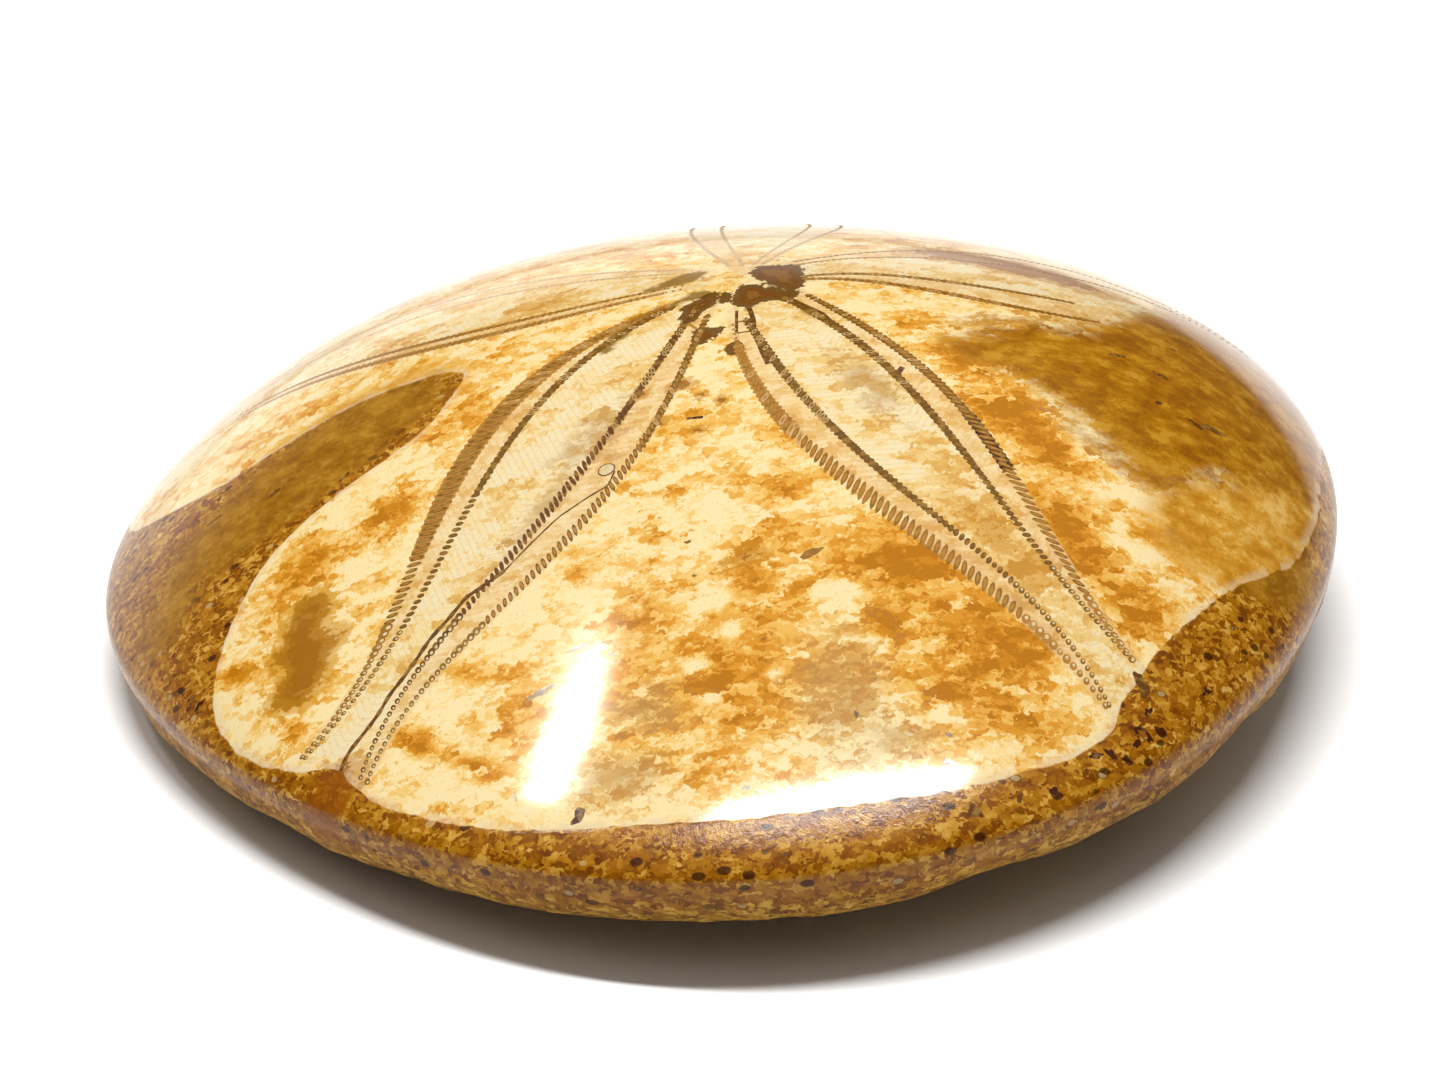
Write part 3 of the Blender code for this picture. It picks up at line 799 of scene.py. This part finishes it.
def iron_stained_silt():
    """From pale calcite over gold and olive to dark red-brown, by the tone of each shape."""
    material = bpy.data.materials.new("iron_stained_silt")
    material.use_nodes = True
    tree = material.node_tree
    shader = tree.nodes["Principled BSDF"]
    place = add(tree, "TexCoord", output="Object")
    mottle = add(tree, "TexNoise", {"Vector": place, "Scale": 1 / (MOTTLE * MM), "Detail": 3})
    tone = add(tree, "Attribute", output="Fac", attribute_name="tone")
    shade = add(
        tree,
        "ValToRGB",
        (tone,),
        stops=(
            (PALE, "#d4c094"), (GOLDEN, "#ab7628"), (OLIVE, "#7c5814"), (BROWN, "#643d08"),
            (PURPLE, "#6a3d28"), (DARK, "#461d02"),
        ),
    )  # fmt: skip
    paler = add(tree, "MapRange", (mottle, 0.48, 0.62, 0, 0.5), **SMOOTH)
    body = add(tree, "Mix", {AMOUNT: paler, BELOW: shade, ABOVE: "#ac853f"}, **PAINT)
    tree.links.new(body, shader.inputs["Base Color"])
    shader.inputs["Roughness"].default_value = 0.14
    shader.inputs["IOR"].default_value = 1.55
    return material


def spread(values, along):
    """A value given at the stations of SPREAD_STATIONS, at each distance along a row."""
    return np.interp(along, SPREAD_STATIONS, values)


def row_places(petal, offsets, along):
    """Plan positions on a row, at these distances along the petal's axis."""
    axis = radians(petal.degrees)
    across = row_curve(offsets)(along)
    x = along * cos(axis) - across * sin(axis)
    y = along * sin(axis) + across * cos(axis)
    return np.stack([x, y], axis=1)


# Stain along a row of pores: the petal, the row, from and to, tone, half widths
SPREAD_STATIONS = (4, 8, 14, 22, 30, 34, 38)
Creep = namedtuple("Creep", "petal row start end tone half_widths")
STAINED_ROWS = (
    Creep(0, "outer_right", 4, 27, GOLDEN, (0.26, 0.42, 0.72, 0.70, 0.30, 0.1, 0.1)),
    Creep(0, "inner_right", 4, 22, 0.45, (0.26, 0.30, 0.28, 0.16, 0.10, 0.1, 0.1)),
    Creep(0, "inner_left", 3, 16, 0.50, (0.24, 0.28, 0.22, 0.10, 0.10, 0.1, 0.1)),
    Creep(0, "outer_left", 4, 16, 0.40, (0.20, 0.26, 0.20, 0.10, 0.10, 0.1, 0.1)),
    Creep(1, "outer_right", 6, 15, GOLDEN, (0.24, 0.34, 0.48, 0.50, 0.45, 0.2, 0.1)),
    Creep(1, "inner_right", 4, 27, 0.50, (0.24, 0.30, 0.26, 0.19, 0.08, 0.1, 0.1)),
    Creep(1, "inner_left", 3, 28, 0.50, (0.26, 0.32, 0.28, 0.20, 0.08, 0.1, 0.1)),
    Creep(1, "outer_left", 4, 20.3, 0.45, (0.20, 0.28, 0.32, 0.30, 0.1, 0.1, 0.1)),
    Creep(1, "outer_left", 19.8, 24.8, DARK, (0.3, 0.3, 0.3, 0.40, 0.42, 0.3, 0.3)),
    Creep(2, "outer_right", 4, 22, 0.24, (0.20, 0.28, 0.30, 0.16, 0.1, 0.1, 0.1)),
    Creep(2, "inner_right", 4, 21, 0.28, (0.18, 0.24, 0.26, 0.14, 0.1, 0.1, 0.1)),
    Creep(2, "inner_left", 4, 30, 0.30, (0.10, 0.12, 0.14, 0.14, 0.12, 0.1, 0.1)),
    Creep(2, "outer_left", 4, 30, 0.30, (0.10, 0.12, 0.14, 0.14, 0.12, 0.1, 0.1)),
    Creep(3, "outer_right", 4, 21, 0.10, (0.12, 0.15, 0.12, 0.04, 0.04, 0.1, 0.1)),
    Creep(3, "inner_right", 4, 20, 0.10, (0.12, 0.13, 0.09, 0.04, 0.04, 0.1, 0.1)),
    Creep(3, "inner_left", 4, 20, 0.10, (0.12, 0.13, 0.09, 0.04, 0.04, 0.1, 0.1)),
    Creep(3, "outer_left", 4, 21, 0.10, (0.12, 0.15, 0.12, 0.04, 0.04, 0.1, 0.1)),
    Creep(4, "outer_left", 5, 34, 0.18, (0.14, 0.22, 0.28, 0.28, 0.20, 0.1, 0.1)),
    Creep(4, "inner_left", 5, 34, 0.22, (0.12, 0.16, 0.20, 0.20, 0.16, 0.1, 0.1)),
    Creep(4, "inner_right", 5, 34, 0.12, (0.08, 0.12, 0.14, 0.14, 0.12, 0.1, 0.1)),
    Creep(4, "outer_right", 5, 34, 0.12, (0.08, 0.12, 0.14, 0.14, 0.12, 0.1, 0.1)),
)  # fmt: skip

stain_shapes = bmesh.new()
stain_shapes.verts.layers.float.new("tone")
for creep in STAINED_ROWS:
    petal = PETALS[creep.petal]
    along = np.arange(creep.start, creep.end, RIBBON_STEP)
    teeth = SERRATION * np.sin(along * 2 * pi / SERRATION_PITCH)
    teeth *= 1 + np.sin(along * SERRATION_TURNS) / 2
    widths = spread(creep.half_widths, along) + np.where(along < SERRATION_END, teeth, 0)
    path = row_places(petal, getattr(petal, creep.row), along)
    ribbon(stain_shapes, path, widths, creep.tone)
for line in STAIN_LINES:
    path = through(line.path, LINE_STEPS)
    ribbon(stain_shapes, path, np.full(len(path), line.half_width), line.tone)
silt_material = iron_stained_silt()
lay_on_top(stain_shapes, "stain_lines", STAIN_PROUD, silt_material)

# ---------------------------------------------------------------------------------------
# The pore infill. Each pore of the shell is plugged with brown iron-stained silt and ground
# flush with the calcite, so the petals are drawn in beads, slits and, at their tips, rings.

PLUG_PROUD, HEART_PROUD = 0.000010, 0.000016
PLUG_SIDES = 10


def plug(shapes, x, y, turn, half_length, half_width, tone, sides=PLUG_SIDES, ragged=0.0):
    """One pore, drawn flat: an oval whose long side is turned by turn."""
    place = Matrix.Translation((x, y, 0)) @ Matrix.Rotation(turn, 4, "Z")
    stretch = Matrix.Diagonal((half_length, half_width, 1, 1))
    made = bmesh.ops.create_circle(
        shapes, cap_ends=True, segments=sides, radius=1, matrix=place @ stretch
    )
    for corner in made["verts"]:
        reach = corner.co - place.translation
        reach *= 1 + ragged * noise.noise(corner.co / half_width)
        corner.co = place.translation + reach
        corner[shapes.verts.layers.float["tone"]] = tone


# Half lengths at SPREAD_STATIONS, half width, lean towards the margin, spacing, tone, tone of
# the core, and how far from the apex the pores turn into rings and end
Pores = namedtuple("Pores", "half_lengths half_width lean pitch tone core rings_from end")
BAND = Pores((0.16, 0.34, 0.70, 0.68, 0.40, 0.24, 0.18), 0.14, 36, 0.40, 0.42, GOLDEN, 31, 40)
COMB = Pores((0.16, 0.25, 0.45, 0.48, 0.28, 0.20, 0.18), 0.13, 36, 0.42, 0.48, GOLDEN, 29, 40)
PURPLE_COMB = Pores((0.16, 0.25, 0.45, 0.48, 0.28, 0.20, 0.18), 0.13, 36, 0.40, 0.70, 0.6, 29, 40)
LADDER = Pores((0.16, 0.25, 0.52, 0.68, 0.52, 0.34, 0.20), 0.17, 36, 0.47, 0.33, GOLDEN, 33, 40)
BEADS = Pores((0.24, 0.30, 0.33, 0.30, 0.24, 0.20, 0.16), 0.15, 30, 0.40, 0.50, 0.4, 31, 40)
SLITS = Pores((0.16, 0.24, 0.34, 0.50, 0.48, 0.30, 0.18), 0.14, 50, 0.46, 0.35, GOLDEN, 33, 40)
THREAD = Pores((0.10, 0.14, 0.26, 0.30, 0.24, 0.18, 0.14), 0.10, 36, 0.44, 0.34, 0.3, 33, 35)
SHORT_THREAD = Pores((0.14, 0.18, 0.28, 0.20, 0.10, 0.10, 0.10), 0.12, 36, 0.44, 0.45, 0.3, 33, 21)
FAINT_THREAD = Pores((0.08, 0.10, 0.16, 0.17, 0.12, 0.08, 0.06), 0.07, 36, 0.44, 0.05, 0.05, 33, 29)
PORE_STYLES = (
    (BAND, BEADS, PURPLE_COMB, COMB),
    (LADDER, BEADS, BEADS, SLITS),
    (SHORT_THREAD, SHORT_THREAD, THREAD, THREAD),
    (FAINT_THREAD, FAINT_THREAD, FAINT_THREAD, FAINT_THREAD),
    (FAINT_THREAD, FAINT_THREAD, THREAD, THREAD),
)
ROW_SIDES = (-1, -1, 1, 1)  # right, right, left, left
TONE_SWING = 0.10
GOLDEN_UNTIL, GOLDEN_ABOVE = 16, 0.08  # near the apex some of the pores are filled with gold
SIZE_SWING = 0.25
TURN_SWING = radians(14)
PORE_SEED = 3  # without one, the swings would differ from run to run
RING_WIDTH, RING_HOLE, BAR_CORE, CRESCENT = 0.8, 0.42, 0.55, 0.35  # shares of the pore
RINGS_PALER = 0.12
CHANCE_SCALE = 3  # so that neighbours differ
NEAR_EDGE = 0.5  # no pore is cut by the edge of the calcite

# Dark flecks where grains have fallen out of the polished face, and on the brown rim
Flake = namedtuple("Flake", "x y half_length half_width degrees tone")
FLAKES = (
    Flake(-10.5, -38.6, 0.45, 0.30, 60, DARK), Flake(-10.4, -28.1, 0.55, 0.16, 10, OLIVE),
    Flake(-12.6, -30.3, 0.75, 0.22, 15, OLIVE), Flake(-11.3, -32.7, 0.35, 0.12, -15, OLIVE),
    Flake(-11.2, -35.2, 0.25, 0.15, 30, OLIVE), Flake(-8.6, -29.1, 0.20, 0.10, 20, OLIVE),
    Flake(-10.4, -29.8, 0.15, 0.08, 60, OLIVE), Flake(-14.0, -36.4, 0.35, 0.07, -70, OLIVE),
    Flake(-4.0, -22.9, 0.18, 0.10, 0, OLIVE), Flake(-3.7, -25.3, 0.14, 0.09, 0, OLIVE),
    Flake(0.0, -30.3, 0.16, 0.10, 0, 0.3), Flake(3.0, -25.2, 0.60, 0.24, 25, 0.32),
    Flake(4.8, -35.5, 0.20, 0.12, 90, BROWN), Flake(-1.4, -38.9, 0.22, 0.13, 0, BROWN),
    Flake(0.9, -39.2, 0.20, 0.12, -30, BROWN), Flake(1.6, -39.5, 0.25, 0.14, -40, BROWN),
    Flake(9.6, -38.3, 0.36, 0.16, -25, BROWN), Flake(9.7, -36.8, 0.2, 0.1, -20, OLIVE),
    Flake(15.1, -39.0, 0.30, 0.14, 40, DARK), Flake(17.7, -36.8, 0.35, 0.16, 30, DARK),
    Flake(18.6, -36.5, 0.35, 0.18, -20, DARK), Flake(19.5, -36.4, 0.30, 0.18, 10, DARK),
    Flake(20.1, -35.5, 0.26, 0.16, 50, DARK), Flake(20.6, -34.9, 0.50, 0.24, -15, DARK),
    Flake(21.6, -34.4, 0.32, 0.20, 10, DARK), Flake(21.0, -33.7, 0.28, 0.16, 60, DARK),
    Flake(20.9, -32.4, 0.62, 0.36, -60, BROWN), Flake(24.7, -31.0, 0.34, 0.16, 45, DARK),
    Flake(10.7, -40.6, 0.50, 0.30, 30, BROWN), Flake(13.2, -39.7, 0.26, 0.14, 60, BROWN),
    Flake(23.1, -7.0, 0.45, 0.16, 10, BROWN), Flake(25.7, -7.7, 0.45, 0.18, -15, BROWN),
    Flake(25.0, -11.0, 0.30, 0.14, 30, BROWN), Flake(27.3, -11.7, 0.55, 0.2, -20, BROWN),
    Flake(28.4, -11.3, 0.60, 0.28, 10, 0.5), Flake(27.3, -3.1, 0.35, 0.12, 0, BROWN),
    Flake(-35.1, -19.3, 0.35, 0.18, -50, DARK), Flake(-34.3, -20.4, 0.24, 0.16, 0, DARK),
    Flake(-33.7, -21.3, 0.32, 0.22, 20, DARK), Flake(-30.1, -7.3, 0.45, 0.14, 20, BROWN),
    Flake(-34.2, -6.5, 0.40, 0.12, 10, BROWN), Flake(-25.3, -9.0, 0.40, 0.14, 40, BROWN),
)  # fmt: skip
FLAKE_SIDES, RAGGEDNESS = 16, 0.8
# A tubercle in the left petal, cut through: where it is, half length, half width, and its heart
TUBERCLE_X, TUBERCLE_Y = -8.7, -15.9
TUBERCLE_SIZE, TUBERCLE_HEART = (0.55, 0.495), (0.4675, 0.4125)

calcite_edge = rounded(CALCITE_EDGE)
pores, hearts = bmesh.new(), bmesh.new()
noise.seed_set(PORE_SEED)
pores.verts.layers.float.new("tone")
hearts.verts.layers.float.new("tone")
for petal, styles in zip(PETALS, PORE_STYLES):
    for offsets, style, side in zip(petal[1:], styles, ROW_SIDES):
        along = np.arange(STATIONS[0], style.end, style.pitch)
        places = row_places(petal, offsets, along)
        lengths = spread(style.half_lengths, along)
        whole = (along <= STATIONS[-1]) | (inside_by(calcite_edge, *places.T) >= NEAR_EDGE)
        turn = radians(petal.degrees) + pi / 2 - side * radians(style.lean)
        for distance, (x, y), length in zip(along[whole], places[whole], lengths[whole]):
            chance = noise.noise_vector((CHANCE_SCALE * x, CHANCE_SCALE * y, 0))
            golden = distance < GOLDEN_UNTIL and chance.x > GOLDEN_ABOVE
            tone = GOLDEN / 2 if golden else style.tone + TONE_SWING * chance.x
            length *= 1 + SIZE_SWING * chance.y
            tilt = turn + TURN_SWING * chance.z
            ring = distance > style.rings_from
            width = RING_WIDTH * length if ring else min(style.half_width, length)
            plug(pores, x, y, tilt, length, width, tone - RINGS_PALER if ring else tone)
            aside = CRESCENT * width if ring else 0.0
            size, core = (RING_HOLE, PALE) if ring else (BAR_CORE, style.core)
            place = (x + aside * cos(tilt), y + aside * sin(tilt))
            plug(hearts, *place, tilt, size * length, size * width, core)
for flake in FLAKES:
    turn = radians(flake.degrees)
    size = (flake.half_length, flake.half_width)
    plug(pores, flake.x, flake.y, turn, *size, flake.tone, sides=FLAKE_SIDES, ragged=RAGGEDNESS)
plug(pores, TUBERCLE_X, TUBERCLE_Y, 0, *TUBERCLE_SIZE, BROWN)
plug(hearts, TUBERCLE_X, TUBERCLE_Y, 0, *TUBERCLE_HEART, PALE)
lay_on_top(pores, "pore_infill", PLUG_PROUD, silt_material)
lay_on_top(hearts, "pore_hearts", HEART_PROUD, silt_material)

# ---------------------------------------------------------------------------------------
# The crack. A hairline crack from burial, healed with dark iron-stained silt, runs down the
# petal at the front left to the edge of the calcite.

CRACK_PROUD = 0.000020
CRACK_STEPS, CRACK_SWING, CRACK_TURNS = 3, 0.25, 2.3  # it is wider and narrower by turns
CRACK_LINES = (
    Line(
        BROWN,
        0.05,
        (
            (-8.2, -16.2), (-8.6, -17.2), (-9.7, -17.6), (-11.6, -18.5), (-13.1, -19.7),
            (-14.8, -21.2),
        ),
    ),
    Line(
        BROWN,
        0.13,
        (
            (-14.8, -21.2), (-16.3, -21.9), (-17.1, -22.2), (-18.1, -23.3), (-19.2, -24.3),
            (-19.9, -25.3), (-20.6, -26.2), (-21.5, -27.2), (-22.1, -28.2), (-22.7, -28.9),
            (-23.8, -30.0), (-24.2, -30.9),
        ),
    ),
)  # fmt: skip

crack_shapes = bmesh.new()
crack_shapes.verts.layers.float.new("tone")
for line in CRACK_LINES:
    path = through(line.path, CRACK_STEPS)
    widths = line.half_width * (1 + CRACK_SWING * np.sin(np.arange(len(path)) * CRACK_TURNS))
    ribbon(crack_shapes, path, widths, line.tone)
lay_on_top(crack_shapes, "healed_crack", CRACK_PROUD, silt_material)

# ---------------------------------------------------------------------------------------
# The table, the lights and the camera. White paper lies under the stone. A long strip lamp
# overhead and a small key lamp behind on the left give the two bright reflections in its polish.

FLOOR_SIZE = 3.0
PAPER_WHITE = (0.95, 0.95, 0.95, 1)
floor_shape = bmesh.new()
bmesh.ops.create_grid(floor_shape, x_segments=1, y_segments=1, size=FLOOR_SIZE / 2)
floor_mesh = bpy.data.meshes.new("table_top")
floor_shape.to_mesh(floor_mesh)
floor_shape.free()
table_top = bpy.data.objects.new("table_top", floor_mesh)
bpy.context.scene.collection.objects.link(table_top)
paper = bpy.data.materials.new("white_paper")
paper.use_nodes = True
paper.node_tree.nodes["Principled BSDF"].inputs["Base Color"].default_value = PAPER_WHITE
paper.node_tree.nodes["Principled BSDF"].inputs["Roughness"].default_value = 0.9
floor_mesh.materials.append(paper)

# The room is dark but for a window low down, behind on the left, and a faint ceiling. Heights
# are sines of the angle above the horizon.
BAND_TOP, BAND_FULL = 0.42, 0.06
WINDOW_TOWARDS, WINDOW_EDGE, WINDOW_FULL, WINDOW_GLOW = (-0.45, 0.89, 0), 0.60, 0.98, 1.5
CEILING_FROM, CEILING_FULL, ROOM_GLOW, CEILING_GLOW = 0.5, 0.9, 0.06, 0.5
world = bpy.data.worlds.new("studio")
world.use_nodes = True
sky = world.node_tree
towards = add(sky, "TexCoord", output="Generated")
height = add(sky, "SeparateXYZ", (towards,), output=2)
low = add(sky, "MapRange", (height, BAND_TOP, BAND_FULL), **SMOOTH)
facing = {"operation": "DOT_PRODUCT"}
window = add(sky, "VectorMath", (towards, WINDOW_TOWARDS), output="Value", **facing)
window = add(sky, "MapRange", (window, WINDOW_EDGE, WINDOW_FULL, 0.0, WINDOW_GLOW), **SMOOTH)
heights = (height, CEILING_FROM, CEILING_FULL)
ceiling = add(sky, "MapRange", (*heights, ROOM_GLOW, CEILING_GLOW), **SMOOTH)
glow = add(sky, "Math", (low, window, ceiling), **SHARE_OF)
sky.links.new(glow, sky.nodes["Background"].inputs["Strength"])
sky.nodes["Background"].inputs["Color"].default_value = (1.0, 1.0, 1.0, 1)
bpy.context.scene.world = world
bpy.context.scene.view_settings.view_transform = "Standard"
bpy.context.scene.view_settings.gamma = 0.93


def soft_light(name, place, aim, length, width, radiance, spin=0.0):
    """A flat lamp at place that faces aim; radiance is how bright it looks, 1 being white paper."""
    lamp = bpy.data.lights.new(name, "AREA")
    lamp.shape, lamp.size, lamp.size_y = "RECTANGLE", length, width
    lamp.energy = radiance * pi * length * width
    holder = bpy.data.objects.new(name, lamp)
    bpy.context.scene.collection.objects.link(holder)
    away = (Vector(place) - Vector(aim)).normalized()
    level = Vector((0, 0, 1)).cross(away).normalized() if abs(away.z) < 0.99 else Vector((1, 0, 0))
    turned = Matrix((level, away.cross(level), away)).transposed().to_4x4()
    holder.matrix_world = Matrix.Translation(place) @ turned @ Matrix.Rotation(radians(spin), 4, "Z")
    return holder


soft_light(
    "overhead_strip",
    place=(0.029, -0.055, 0.61),
    aim=(0.029, -0.045, 0.0),
    length=0.34,
    width=0.036,
    radiance=96,
    spin=-15,
)
soft_light(
    "key",
    place=(-0.297, 0.142, 0.620),
    aim=(-0.012, -0.033, 0.011),
    length=0.074,
    width=0.034,
    radiance=80,
)

CAMERA_TARGET = Vector((0.0005, -0.0008, 0.00536))
CAMERA_DISTANCE, CAMERA_ELEVATION, CAMERA_ROLL = 0.187, radians(26.7), -0.049
camera_data = bpy.data.cameras.new("camera")
camera_data.lens, camera_data.sensor_width = 69.8, 36.0
camera_data.clip_start = 0.01
camera = bpy.data.objects.new("camera", camera_data)
bpy.context.scene.collection.objects.link(camera)
backwards = Vector((0, -cos(CAMERA_ELEVATION), sin(CAMERA_ELEVATION)))
camera.matrix_world = (
    Matrix.Translation(CAMERA_TARGET + backwards * CAMERA_DISTANCE)
    @ Matrix.Rotation(pi / 2 - CAMERA_ELEVATION, 4, "X")
    @ Matrix.Rotation(CAMERA_ROLL, 4, "Z")
)
bpy.context.scene.camera = camera
